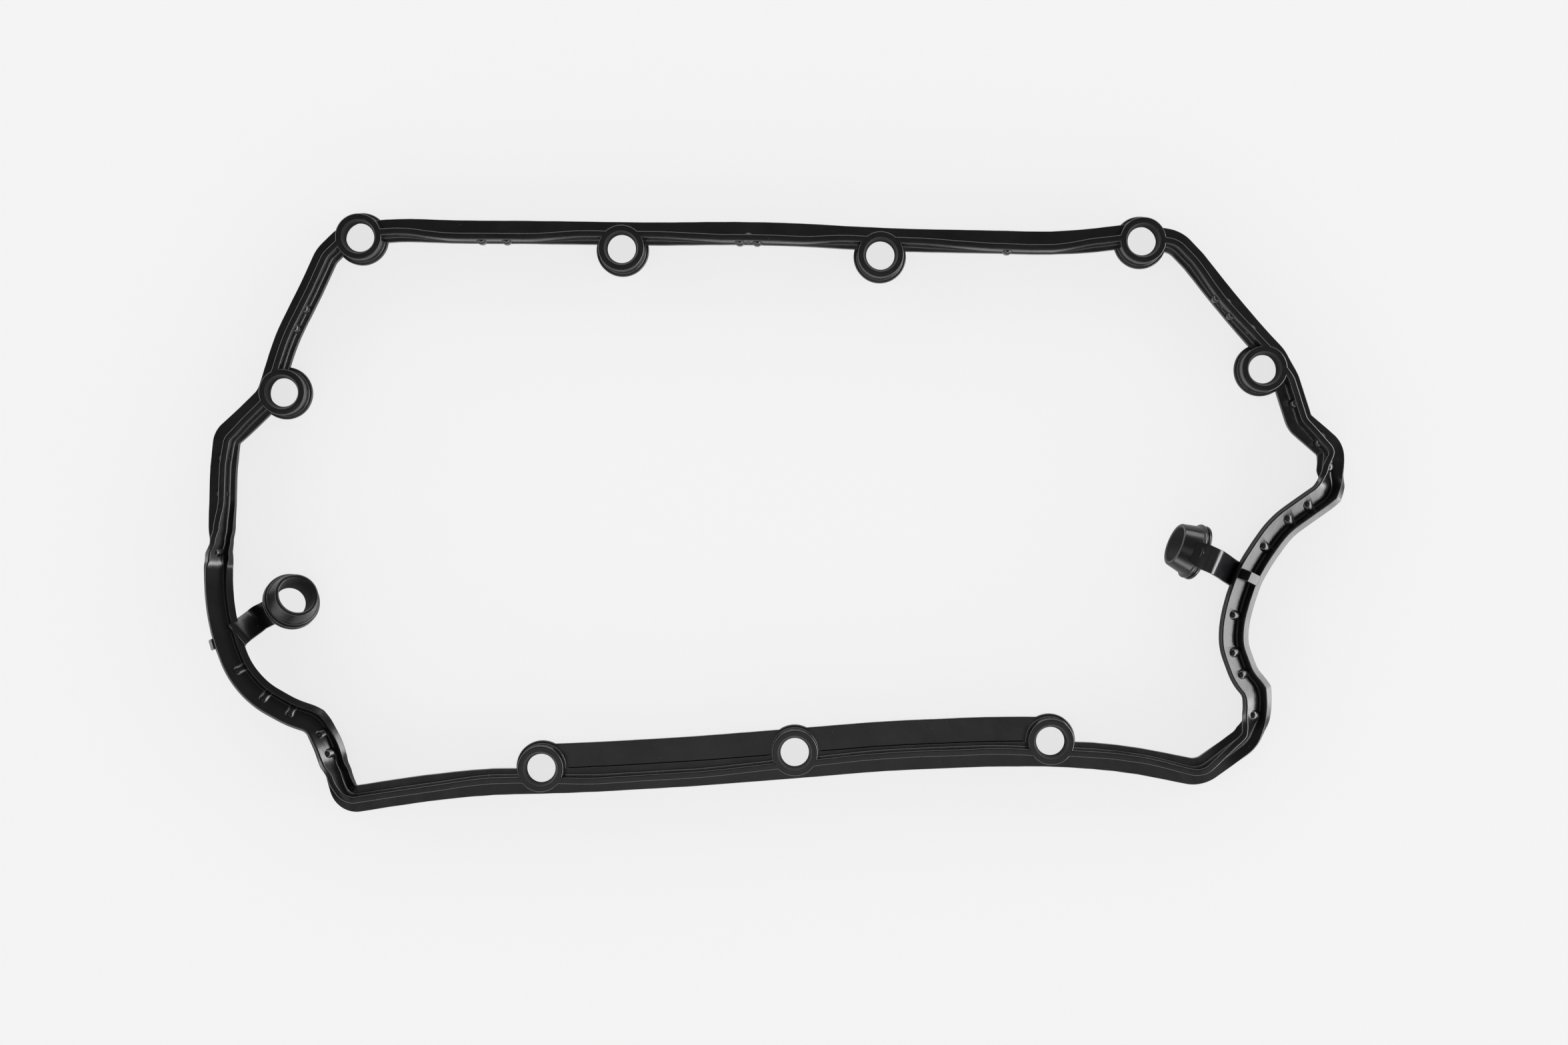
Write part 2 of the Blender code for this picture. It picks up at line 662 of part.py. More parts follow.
def rubber():
    """Black carbon-filled moulded rubber with a dull sheen."""
    material = bpy.data.materials.new("moulded rubber")
    material.use_nodes = True
    shader = material.node_tree.nodes["Principled BSDF"]
    shader.inputs["Base Color"].default_value = (0.012, 0.012, 0.013, 1.0)
    shader.inputs["Roughness"].default_value = 0.42
    shader.inputs["Metallic"].default_value = 0.0
    material.diffuse_color = (0.03, 0.03, 0.032, 1.0)
    return material


def collection(name, members):
    made = bpy.data.collections.new(name)
    bpy.context.scene.collection.children.link(made)
    for member in members:
        bpy.context.scene.collection.objects.unlink(member)
        made.objects.link(member)
    return made


def set_on_origin(gasket, tools):
    """Moves everything so that the origin is the middle of the gasket's footprint."""
    graph = bpy.context.evaluated_depsgraph_get()
    data = bpy.data.meshes.new_from_object(gasket.evaluated_get(graph))
    spots = [vertex.co for vertex in data.vertices]
    low = Vector([min(spot[axis] for spot in spots) for axis in range(3)])
    high = Vector([max(spot[axis] for spot in spots) for axis in range(3)])
    bpy.data.meshes.remove(data)
    anchor = bpy.data.objects.new("footprint", None)
    bpy.context.scene.collection.objects.link(anchor)
    anchor.location = (-(low.x + high.x) / 2, -(low.y + high.y) / 2, -low.z)
    for made in [gasket, *tools]:
        made.parent = anchor


def main():
    for old in list(bpy.data.objects):
        bpy.data.objects.remove(old)
    stations = run_stations(ARC_STEP, LONGEST_STEP)
    rings = [[in_space(station, *point) for point in section(station)] for station in stations]
    gasket = loft("gasket", rings, True)
    added = [
        eyelets(),
        web(stations),
        nubs(stations),
        lugs(stations),
        tube("right_tube", RIGHT_TUBE),
        tube("left_tube", LEFT_TUBE),
        ribbon("right_strap", RIGHT_STRAP),
        ribbon("left_strap", LEFT_STRAP),
    ]
    for tool in added:
        combine(gasket, tool.name, tool, "UNION")
    holes = bores()
    combine(gasket, holes.name, holes, "DIFFERENCE")
    tools = [*added, holes]
    for tool in tools:
        tool.hide_render = True
        tool.display_type = "WIRE"
    gasket.data.materials.append(rubber())
    collection("valve_cover_gasket", [gasket])
    collection("cutters", tools)
    set_on_origin(gasket, tools)


main()
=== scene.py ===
# Valve cover gasket of moulded black rubber, lying loose on a pale table under soft studio light.
# It is one moulding, so every part of it is joined into one piece that stands for the CAD gasket.
import json
import math

import bmesh
import bpy
from mathutils import Matrix, Vector, noise


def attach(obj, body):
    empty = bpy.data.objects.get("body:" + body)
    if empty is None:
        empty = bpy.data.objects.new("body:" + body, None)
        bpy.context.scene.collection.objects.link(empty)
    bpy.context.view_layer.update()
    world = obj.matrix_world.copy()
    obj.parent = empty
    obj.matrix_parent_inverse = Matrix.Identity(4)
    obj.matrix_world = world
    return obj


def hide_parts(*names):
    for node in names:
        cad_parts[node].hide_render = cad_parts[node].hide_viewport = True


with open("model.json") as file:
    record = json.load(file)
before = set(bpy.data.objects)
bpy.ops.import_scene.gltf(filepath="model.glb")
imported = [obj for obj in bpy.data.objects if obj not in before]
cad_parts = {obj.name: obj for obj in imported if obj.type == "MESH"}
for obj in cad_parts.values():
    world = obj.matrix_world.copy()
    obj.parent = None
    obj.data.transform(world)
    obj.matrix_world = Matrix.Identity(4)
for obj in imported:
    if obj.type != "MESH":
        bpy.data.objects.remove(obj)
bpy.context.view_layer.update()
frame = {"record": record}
mm = 0.001  # sizes below are in millimetres
weldGap, jointGap = 1e-6, 2e-6  # metres, below which corners are one: in a piece, and once joined

# The T section, swept along the run
seal = {
    "height": 8.5,
    "flangeThickness": 2.3,
    "ribThickness": 2.4,
    "ribDraft": 0.1,  # how much each rib side leans in over its height
    "ribTopRadius": 0.5,
    "rootFillet": 0.6,
    "flangeTopRadius": 0.22,
    "flangeFootRadius": 0.2,
    "filletShare": 0.45,  # most of a narrow shelf that one rounding takes
    "arcPoints": 5,
    "fullRoll": 63.0,  # degrees that the free arches have rolled over
    "arcStep": 4.0,
    "longestStep": 1.1,
    "ribWave": 0.16,
    "ribWaveLength": 19.0,
    "leastTurn": 0.5,
    "arcShare": 0.46,
}

# Flange widths
topRun, slantRun, sideRun, archRun, spreadRun = 7.6, 7.9, 8.8, 7.9, 8.3
# The rib's place, inward of the flange's middle
outerRib, centredRib, bendRib, eyeletRib = -0.3, 0.3, 0.8, 1.1
leanRib, sideRib, topRib = 1.3, 1.7, 2.3
# Corner radius, and whether the flange keeps its outer point
soft, bend, tight, pointed = (400.0, False), (9.0, False), (5.4, False), (9.0, True)

# The run, clockwise from above: bolt, place from that bolt, corner, flange, rib, share of the roll
run = [
    ("top_left", 12.2, 3.2, soft, topRun, eyeletRib, 0.0),
    ("top_left", 30.5, 2.4, soft, topRun, topRib, 0.0),
    ("top_mid_left", -32.5, 6.1, soft, topRun, topRib, 0.0),
    ("top_mid_left", -10.5, 5.8, soft, topRun, eyeletRib, 0.0),
    ("top_mid_left", 10.5, 5.5, soft, topRun, eyeletRib, 0.0),
    ("top_mid_right", -48.9, 8.0, soft, topRun, topRib, 0.0),
    ("top_mid_right", -27.0, 7.5, soft, topRun, topRib, 0.0),
    ("top_mid_right", -9.7, 6.4, soft, topRun, eyeletRib, 0.0),
    ("top_mid_right", 9.3, 5.6, soft, topRun, eyeletRib, 0.0),
    ("top_right", -46.9, 0.2, soft, topRun, topRib, 0.0),
    ("top_right", -30.1, -0.3, soft, topRun, topRib, 0.0),
    ("top_right", -14.4, 0.8, soft, slantRun, eyeletRib, 0.0),
    ("top_right", -2.1, 2.5, soft, slantRun, eyeletRib, 0.0),
    ("top_right", 11.8, 0.3, bend, slantRun, eyeletRib, 0.0),
    ("top_right", 18.1, -6.2, bend, slantRun, eyeletRib, 0.0),
    ("right", -12.1, 23.6, soft, slantRun, sideRib, 0.0),
    ("right", -1.5, 11.2, soft, slantRun, eyeletRib, 0.0),
    ("right", 5.0, 4.3, bend, slantRun, eyeletRib, 0.0),
    ("right", 8.8, -3.8, bend, sideRun, outerRib, 0.0),
    ("right", 13.2, -17.6, tight, sideRun, outerRib, 0.0),
    ("right", 23.7, -26.7, tight, sideRun, eyeletRib, 0.0),
    ("right", 23.4, -33.7, soft, sideRun, eyeletRib, 0.3),
    ("right", 21.4, -41.5, pointed, archRun, centredRib, 1.0),
    ("right", 6.0, -52.4, soft, archRun, centredRib, 1.0),
    ("right", 0.0, -60.4, soft, archRun, centredRib, 1.0),
    ("right", -4.9, -68.4, soft, archRun, centredRib, 1.0),
    ("right", -7.9, -76.6, soft, archRun, centredRib, 1.0),
    ("right", -10.0, -84.8, soft, archRun, centredRib, 1.0),
    ("right", -10.3, -92.3, soft, archRun, centredRib, 1.0),
    ("right", -6.5, -102.6, soft, archRun, centredRib, 1.0),
    ("low_right", 68.6, 17.0, pointed, archRun, centredRib, 1.0),
    ("low_right", 68.7, 10.2, soft, archRun, centredRib, 0.85),
    ("low_right", 66.8, 0.9, bend, sideRun, centredRib, 0.3),
    ("low_right", 50.4, -11.2, bend, sideRun, centredRib, 0.0),
    ("low_right", 30.5, -7.1, soft, sideRun, eyeletRib, 0.0),
    ("low_right", 14.8, -5.2, soft, sideRun, eyeletRib, 0.0),
    ("low_right", -0.9, -4.7, soft, spreadRun, eyeletRib, 0.0),
    ("low_right", -21.1, -4.8, soft, spreadRun, sideRib, 0.0),
    ("low_mid", 30.8, -2.5, soft, spreadRun, sideRib, 0.0),
    ("low_mid", -0.6, -5.1, soft, spreadRun, eyeletRib, 0.0),
    ("low_left", 50.6, -2.4, soft, spreadRun, centredRib, 0.0),
    ("low_left", 19.2, -4.2, soft, spreadRun, centredRib, 0.0),
    ("low_left", -0.6, -5.0, soft, spreadRun, eyeletRib, 0.0),
    ("low_left", -16.6, -4.9, soft, sideRun, eyeletRib, 0.0),
    ("low_left", -39.0, -7.1, soft, sideRun, centredRib, 0.0),
    ("low_left", -65.5, -11.3, tight, sideRun, centredRib, 0.0),
    ("low_left", -68.2, -3.1, soft, sideRun, centredRib, -0.25),
    ("low_left", -69.9, 6.1, soft, sideRun, centredRib, -0.7),
    ("low_left", -75.0, 16.0, pointed, archRun, centredRib, -0.97),
    ("low_left", -82.6, 18.4, soft, archRun, centredRib, -0.96),
    ("low_left", -93.4, 24.6, soft, archRun, centredRib, -0.95),
    ("low_left", -100.0, 32.3, soft, archRun, centredRib, -0.95),
    ("left", -17.5, -84.2, soft, archRun, centredRib, -0.94),
    ("left", -19.9, -74.9, soft, archRun, centredRib, -0.93),
    ("left", -21.0, -66.0, soft, archRun, centredRib, -0.92),
    ("left", -21.2, -59.0, soft, archRun, centredRib, -0.87),
    ("left", -21.3, -55.5, soft, archRun, centredRib, -0.5),
    ("left", -21.5, -49.5, soft, archRun, bendRib, -0.26),
    ("left", -21.5, -45.4, soft, sideRun, eyeletRib, -0.14),
    ("left", -21.4, -36.0, soft, sideRun, leanRib, 0.0),
    ("left", -21.1, -24.7, soft, sideRun, leanRib, 0.0),
    ("left", -19.9, -14.8, tight, sideRun, sideRib, 0.0),
    ("left", -12.2, -7.8, soft, sideRun, eyeletRib, 0.0),
    ("left", -5.6, -1.2, bend, sideRun, eyeletRib, 0.0),
    ("left", -3.6, 6.7, bend, slantRun, eyeletRib, 0.0),
    ("left", 0.0, 18.2, soft, slantRun, eyeletRib, 0.0),
    ("top_left", -17.2, -17.0, bend, slantRun, eyeletRib, 0.0),
    ("top_left", -12.0, -5.6, bend, slantRun, eyeletRib, 0.0),
    ("top_left", -5.0, 1.2, bend, slantRun, eyeletRib, 0.0),
]


def boltPlaces():
    # The record states each bolt bore as an opening, so its middle is the bolt's place
    found = {}
    for opening in frame["record"]["physics"]["openings"]:
        if opening["holds"] == "cover bolt":
            low, high = opening["box_m"]
            middle = Vector(((low[0] + high[0]) / 2, (low[1] + high[1]) / 2)) / mm
            found[opening["name"].replace("bore_", "")] = middle
    return found


bolts = boltPlaces()


def placeFrom(bolt, right, up):
    return bolts[bolt] + Vector((right, up))


def inwardOf(heading):
    # Right of the way, which is the inside of a clockwise run
    return Vector((heading.y, -heading.x))


def mix(first, second, share):
    return first + (second - first) * share


def ease(share):
    return share * share * (3 - 2 * share)


def sectionAt(key, spot, inward, reach):
    # What the section is between the two run points on either side of a key
    first, second = run[math.floor(key) % len(run)], run[(math.floor(key) + 1) % len(run)]
    share = ease(key - math.floor(key))
    return {
        "spot": spot,
        "inward": inward,
        "width": mix(first[4], second[4], share),
        "rib": mix(first[5], second[5], share),
        "roll": math.radians(seal["fullRoll"]) * mix(first[6], second[6], share),
        "reach": reach,
    }


def cornerOf(index):
    # The arc that rounds one corner of the run: where it starts, its turn, radius and centre
    spots = [placeFrom(*run[at % len(run)][:3]) for at in (index - 1, index, index + 1)]
    before, here, after = spots
    arriving, leaving = (here - before).normalized(), (after - here).normalized()
    turn = arriving.angle_signed(leaving)
    if abs(turn) < math.radians(seal["leastTurn"]):
        return [(float(index), here, inwardOf(arriving), 0.0)]
    radius, keepsPoint = run[index][3]
    half = math.tan(abs(turn) / 2)
    shorter = min((here - before).length, (after - here).length)
    tangent = min(radius * half, seal["arcShare"] * shorter)
    radius = tangent / half
    steps = 2 * max(1, math.ceil(abs(math.degrees(turn)) / seal["arcStep"] / 2))
    side = inwardOf(arriving) * (1 if turn > 0 else -1)
    centre = here - arriving * tangent + side * radius
    early = index - tangent / (here - before).length
    late = index + tangent / (after - here).length
    found = []
    for step in range(steps + 1):
        share = step / steps
        turned = Matrix.Rotation(-turn * share, 2)
        reach = 0.0
        if keepsPoint:
            off = abs(turn) * min(share, 1 - share)
            reach = math.copysign((radius + run[index][4] / 2) * (1 / math.cos(off) - 1), -turn)
        spot = centre - turned @ (side * radius)
        found.append((mix(early, late, share), spot, inwardOf(turned @ arriving), reach))
    return found


def runStations():
    keyed = [point for index in range(len(run)) for point in cornerOf(index)]
    stations = []
    for (key, spot, inward, reach), after in zip(keyed, keyed[1:] + keyed[:1]):
        nextKey = after[0] if after[0] > key else after[0] + len(run)
        stations.append(sectionAt(key, spot, inward, reach))
        parts = max(1, math.ceil((after[1] - spot).length / seal["longestStep"]))
        for part in range(1, parts):
            share = part / parts
            way = inward.lerp(after[2], share).normalized()
            between = spot.lerp(after[1], share)
            stations.append(sectionAt(mix(key, nextKey, share), between, way, 0.0))
    for station in stations:
        settle(station)
    return stations


def rolledOver(station, across, up):
    cos, sin = math.cos(station["roll"]), math.sin(station["roll"])
    return across * cos + up * sin, up * cos - across * sin


def ribSides(station):
    half = seal["ribThickness"] / 2
    return station["rib"] - half, station["rib"] + half


def settle(station):
    # Centres the rolled section on the run and sets it on the table, and lifts an arch that
    # stands on its lug
    half, thick, high = station["width"] / 2, seal["flangeThickness"], seal["height"]
    near, far = ribSides(station)
    corners = [(-half, 0), (half, 0), (half, thick), (-half, thick), (near, high), (far, high)]
    turned = [rolledOver(station, *corner) for corner in corners]
    sides = [point[0] for point in turned]
    lift = -min(point[1] for point in turned)
    station["shift"] = -(min(sides) + max(sides)) / 2
    station["lift"] = lift
    for bolt, right, up, _, past in lug["places"]:
        away = (placeFrom(bolt, right, up) - station["spot"]).length
        fade = max(0.0, 1 - (away / lug["spread"]) ** 2)
        lugDepth = rolledOver(station, -half - past, thick - lug["sunk"])[1] + lift
        station["lift"] += max(0.0, -lugDepth) * fade * fade


def inSpace(station, across, up):
    side, height = rolledOver(station, across, up)
    plan = station["spot"] + station["inward"] * (side + station["shift"])
    return Vector((plan.x, plan.y, height + station["lift"]))


def sectionAxes(station):
    # Along the run, across the section and up the rib
    cos, sin = math.cos(station["roll"]), math.sin(station["roll"])
    inward = station["inward"].to_3d()
    across = inward * cos - Vector((0, 0, sin))
    up = inward * sin + Vector((0, 0, cos))
    return up.cross(across), across, up


def nearestStation(stations, place):
    spot = placeFrom(*place)
    return min(stations, key=lambda station: (station["spot"] - spot).length)


def roundedOutline(corners, arcPoints):
    # A closed outline whose corners, each given as a place and a radius, are arcs
    outline = []
    for index, (across, up, radius) in enumerate(corners):
        here = Vector((across, up))
        before = Vector(corners[index - 1][:2]) - here
        after = Vector(corners[(index + 1) % len(corners)][:2]) - here
        half = before.angle(after) / 2
        middle = (before.normalized() + after.normalized()).normalized()
        centre = here + middle * (radius / math.sin(half))
        start = here + before.normalized() * (radius / math.tan(half)) - centre
        sweep = (math.pi - 2 * half) * (1 if before.cross(after) < 0 else -1)
        for step in range(arcPoints):
            outline.append(centre + Matrix.Rotation(sweep * step / (arcPoints - 1), 2) @ start)
    return outline


def sealOutline(station):
    half, thick = station["width"] / 2, seal["flangeThickness"]
    inner, outer = half + max(station["reach"], 0.0), half - min(station["reach"], 0.0)
    wave = seal["ribWave"] * noise.noise(station["spot"].to_3d() / seal["ribWaveLength"])
    near, far = ribSides(station)
    draft, top = seal["ribDraft"], seal["height"]
    innerShelf = seal["filletShare"] * (half - far)
    outerShelf = seal["filletShare"] * (half + near)
    return [
        (-outer, 0.0, seal["flangeFootRadius"]),
        (inner, 0.0, seal["flangeFootRadius"]),
        (inner, thick, min(seal["flangeTopRadius"], innerShelf)),
        (far, thick, min(seal["rootFillet"], innerShelf)),
        (far - draft + wave, top, seal["ribTopRadius"]),
        (near + draft + wave, top, seal["ribTopRadius"]),
        (near, thick, min(seal["rootFillet"], outerShelf)),
        (-outer, thick, min(seal["flangeTopRadius"], outerShelf)),
    ]


def sweepRings(rings, closed):
    # A grid with one row for each ring, bent round so that its sides meet
    mesh = bmesh.new()
    mesh.loops.layers.uv.new("UVMap")
    around = len(rings[0])
    rows = [*rings, rings[0]] if closed else rings
    bmesh.ops.create_grid(
        mesh, x_segments=around, y_segments=len(rows) - 1, size=1.0, calc_uvs=True
    )
    for index, vert in enumerate(mesh.verts):
        row, column = divmod(index, around + 1)
        vert.co = rows[row][column % around] * mm
    bmesh.ops.remove_doubles(mesh, verts=mesh.verts, dist=weldGap)
    if not closed:
        bmesh.ops.holes_fill(mesh, edges=[edge for edge in mesh.edges if edge.is_boundary])
    bmesh.ops.recalc_face_normals(mesh, faces=mesh.faces)
    return mesh


def spinProfile(profile, steps):
    # Turns a profile of radius and height about the upright axis
    mesh = bmesh.new()
    mesh.loops.layers.uv.new("UVMap")
    verts = [mesh.verts.new((radius * mm, 0.0, height * mm)) for radius, height in profile]
    ends = verts[1:] if profile[0][0] == 0.0 else [*verts[1:], verts[0]]
    edges = [mesh.edges.new(pair) for pair in zip(verts, ends)]
    bmesh.ops.spin(
        mesh,
        geom=verts + edges,
        cent=(0, 0, 0),
        axis=(0, 0, 1),
        angle=2 * math.pi,
        steps=steps,
        use_merge=True,
    )
    bmesh.ops.remove_doubles(mesh, verts=mesh.verts, dist=weldGap)
    bmesh.ops.recalc_face_normals(mesh, faces=mesh.faces)
    return mesh


def roundEdges(mesh, radius, segments, sharpFrom):
    least = math.radians(sharpFrom)
    sharp = [edge for edge in mesh.edges if edge.calc_face_angle(0.0) > least]
    bmesh.ops.bevel(
        mesh,
        geom=sharp,
        affect="EDGES",
        offset=radius * mm,
        segments=segments,
        profile=0.5,
        material=-1,
        clamp_overlap=True,
    )


def objectFrom(name, mesh):
    data = bpy.data.meshes.new(name)
    mesh.to_mesh(data)
    mesh.free()
    made = bpy.data.objects.new(name, data)
    bpy.context.scene.collection.objects.link(made)
    return made


def gather(name, mesh, places):
    # One object that holds a copy of a mesh at each place
    whole = bmesh.new()
    whole.loops.layers.uv.new("UVMap")
    pattern = bpy.data.meshes.new(name)
    mesh.to_mesh(pattern)
    mesh.free()
    for place in places:
        before = len(whole.verts)
        whole.from_mesh(pattern)
        whole.verts.ensure_lookup_table()
        bmesh.ops.transform(whole, matrix=place, verts=whole.verts[before:])
    bpy.data.meshes.remove(pattern)
    return objectFrom(name, whole)


def placeMatrix(place, axes):
    matrix = Matrix((axes[0], axes[1], axes[2])).transposed().to_4x4()
    matrix.translation = place * mm
    return matrix


# Bolt eyelets: a wall that stands on a thin lip, with a bore that narrows to a throat
eyelet = {
    "bore": 9.8,  # the bolt's bore, which the wall stands around
    "throat": 9.5,
    "wall": 2.8,
    "lip": 1.1,
    "lipThickness": 1.65,  # just under the web's face, so the lip runs out into the web
    "topRadius": 0.5,
    "edgeSteps": 4,
    "sharpFrom": 60.0,
    "boreTop": 11.5,
    "boreFoot": 11.2,
    "throatHigh": 5.3,
    "throatLow": 4.5,
    "cutterPast": 1.0,
    "sides": 72,
}


def boltMatrices():
    return [Matrix.Translation(bolt.to_3d() * mm) for bolt in bolts.values()]


def makeEyelets():
    wall = eyelet["bore"] / 2 + eyelet["wall"]
    lip = wall + eyelet["lip"]
    high, thick = seal["height"], eyelet["lipThickness"]
    profile = [(0.0, high), (wall, high), (wall, thick), (lip, thick), (lip, 0.0), (0.0, 0.0)]
    mesh = spinProfile(profile, eyelet["sides"])
    roundEdges(mesh, eyelet["topRadius"], eyelet["edgeSteps"], eyelet["sharpFrom"])
    return gather("Eyelets", mesh, boltMatrices())


def makeBoreCutters():
    radius, past = eyelet["throat"] / 2, eyelet["cutterPast"]
    top, foot = eyelet["boreTop"] / 2, eyelet["boreFoot"] / 2
    profile = [
        (0.0, seal["height"] + past),
        (top, seal["height"] + past),
        (top, seal["height"]),
        (radius, eyelet["throatHigh"]),
        (radius, eyelet["throatLow"]),
        (foot, 0.0),
        (foot, -past),
        (0.0, -past),
    ]
    return gather("BoreCutters", spinProfile(profile, eyelet["sides"]), boltMatrices())


# The flat web along the inside of the lower run, from its first bolt to its last, with a fine
# groove where it meets the flange
web = {
    "width": 8.3,
    "thickness": 1.7,
    "edgeRadius": 0.3,
    "sunk": 0.5,  # how far it reaches into the flange, to be joined
    "grooveWidth": 0.35,
    "grooveDepth": 0.3,
    "grooveRadius": 0.05,
    "arcPoints": 3,
}


def makeWeb(stations):
    first, last = bolts["low_left"].x, bolts["low_right"].x
    rings = []
    for station in stations:
        if station["spot"].y > 0 or not first <= station["spot"].x <= last:
            continue
        edge, top = station["width"] / 2, web["thickness"]
        near, far = edge - web["sunk"], edge + web["width"]
        groove = top - web["grooveDepth"]
        corners = [
            (near, 0.0, web["edgeRadius"]),
            (far, 0.0, web["edgeRadius"]),
            (far, top, web["edgeRadius"]),
            (edge + web["grooveWidth"], top, web["grooveRadius"]),
            (edge, groove, web["grooveRadius"]),
            (near, groove, web["grooveRadius"]),
        ]
        outline = roundedOutline(corners, web["arcPoints"])
        rings.append([inSpace(station, *point) for point in outline])
    return objectFrom("Web", sweepRings(rings, False))


# Crush nubs: half-round bumps that stand up the rib's side
nub = {
    "radius": 1.85,
    "height": 4.3,
    "out": 1.1,  # how far it stands out of the rib's side
    "foot": 0.5,  # how high its hidden lower end is
    "sides": 20,
    "rows": 12,
    # Place from a bolt, and the side that it is on times its share of the full reach
    "places": [
        ("top_left", 41.0, 0.0, 1),
        ("top_left", 48.7, 0.0, 1),
        ("top_mid_left", 39.0, 2.0, 1),
        ("top_mid_left", 45.6, 2.0, 1),
        ("top_mid_left", 42.0, 8.0, -1),
        ("top_right", -44.7, -3.0, 1),
        ("right", -15.7, 24.0, 1),
        ("right", -10.6, 18.0, 1),
        ("right", -9.2, 24.5, -1),
        ("right", -2.2, 15.5, -1),
        ("right", 9.5, -11.5, 1),
        ("right", 19.0, -22.5, -1),
        ("right", 18.0, -25.5, 1),
        ("right", 25.5, -33.0, -1),
        ("right", 15.5, -46.5, -1),
        ("right", 9.2, -51.0, -1),
        ("right", 1.2, -60.0, -1),
        ("right", -9.5, -82.0, -1),
        ("right", -9.5, -94.5, -1),
        ("right", -6.0, -101.5, -1),
        ("low_right", 68.5, 9.0, -1),
        ("low_left", -101.0, 32.8, 0.4),
        ("low_left", -91.5, 25.0, 0.4),
        ("low_left", -82.5, 20.0, 0.4),
        ("low_left", -72.8, 12.2, 0.4),
        ("low_left", -71.0, 5.0, 0.4),
        ("left", -23.5, -22.0, -1),
        ("left", -23.9, -33.5, -1),
        ("left", -20.5, -53.0, 0.6),
        ("left", 7.0, 28.0, 1),
        ("left", 2.8, 21.5, 1),
    ],
}


def makeNubs(stations):
    mesh = bmesh.new()
    mesh.loops.layers.uv.new("UVMap")
    bmesh.ops.create_uvsphere(
        mesh, u_segments=nub["sides"], v_segments=nub["rows"], radius=nub["radius"] * mm
    )
    lower = [vert for vert in mesh.verts if vert.co.z < -weldGap]
    top = seal["flangeThickness"] + nub["height"] - nub["radius"]
    bmesh.ops.translate(mesh, vec=(0, 0, top * mm), verts=mesh.verts)
    down = nub["foot"] + nub["radius"] - top
    bmesh.ops.translate(mesh, vec=(0, 0, down * mm), verts=lower)
    places = []
    for bolt, right, up, side in nub["places"]:
        station = nearestStation(stations, (bolt, right, up))
        out = seal["ribThickness"] / 2 + nub["out"] * abs(side) - nub["radius"]
        out = station["rib"] + math.copysign(out, side)
        places.append(placeMatrix(inSpace(station, out, 0.0), sectionAxes(station)))
    return gather("Nubs", mesh, places)


# The square lug outside the rib at the top of each arch, whose top rises to the rib
lug = {
    "length": 3.6,
    "rise": 0.8,
    "spread": 45.0,  # how far along the run an arch is lifted by its lug
    "edgeRadius": 0.35,
    "edgeSteps": 3,
    "sharpFrom": 60.0,
    "sunk": 0.5,
    # Place from a bolt, height above the flange and reach past it
    "places": [("right", -4.9, -69.2, 4.2, 0.4), ("left", -18.3, -83.0, 5.9, 3.0)],
}


def makeLugs(stations):
    whole = bmesh.new()
    whole.loops.layers.uv.new("UVMap")
    for bolt, right, up, height, past in lug["places"]:
        station = nearestStation(stations, (bolt, right, up))
        inner = ribSides(station)[0] + lug["sunk"]
        outer = -station["width"] / 2 - past
        low, high = seal["flangeThickness"] - lug["sunk"], seal["flangeThickness"] + height
        middle = inSpace(station, (inner + outer) / 2, (low + high) / 2)
        sizes = (lug["length"] * mm, (inner - outer) * mm, (high - low) * mm, 1.0)
        size = Matrix.Diagonal(sizes)
        made = bmesh.ops.create_cube(whole, size=1.0, matrix=size)["verts"]
        innerTop = [vert for vert in made if vert.co.y > 0 and vert.co.z > 0]
        bmesh.ops.translate(whole, vec=(0, 0, lug["rise"] * mm), verts=innerTop)
        stand = placeMatrix(middle, sectionAxes(station))
        bmesh.ops.transform(whole, matrix=stand, verts=made)
    bmesh.ops.recalc_face_normals(whole, faces=whole.faces)
    roundEdges(whole, lug["edgeRadius"], lug["edgeSteps"], lug["sharpFrom"])
    return objectFrom("Lugs", whole)


# Strapped tubes: a grooved disc at the foot and a body that narrows to the open end
tube = {
    "length": 8.8,
    "bore": 10.2,
    "mouth": 12.0,
    "mouthWall": 1.2,
    "footWall": 3.5,
    "discLip": 0.8,
    "discThickness": 2.6,
    "discGroove": 0.7,
    "edgeRadius": 0.3,
    "edgeSteps": 3,
    "sharpFrom": 40.0,
    "sides": 72,
    # Middle of the disc from a bolt, way the open end points, and its rise above level in degrees
    "right": ("right", -22.4, -61.5, 159.0, 10.0),
    "left": ("left", 2.2, -70.3, 36.0, 56.0),
}


def tubeStand(spec):
    # Middle of a tube's foot and the way that it points
    bolt, right, up, way, rise = spec
    plan, climb = math.radians(way), math.radians(rise)
    level = math.cos(climb)
    axis = Vector((math.cos(plan) * level, math.sin(plan) * level, math.sin(climb)))
    place = placeFrom(bolt, right, up).to_3d()
    place.z = (tube["bore"] / 2 + tube["footWall"] + tube["discLip"]) * level
    return place, axis


def makeTube(name, spec):
    mouth, bore = tube["mouth"] / 2, tube["bore"] / 2
    foot = bore + tube["footWall"]
    disc = foot + tube["discLip"]
    thick = tube["discThickness"]
    rim = (thick - tube["discGroove"]) / 2
    profile = [
        (mouth, tube["length"]),
        (mouth + tube["mouthWall"], tube["length"]),
        (foot, thick),
        (disc, thick),
        (disc, thick - rim),
        (foot, thick - rim),
        (foot, rim),
        (disc, rim),
        (disc, 0.0),
        (bore, 0.0),
    ]
    mesh = spinProfile(profile, tube["sides"])
    roundEdges(mesh, tube["edgeRadius"], tube["edgeSteps"], tube["sharpFrom"])
    place, axis = tubeStand(spec)
    side = Vector((-axis.y, axis.x, 0.0)).normalized()
    mesh.transform(placeMatrix(place, (side.cross(axis).normalized(), side, axis)))
    return objectFrom(name, mesh)


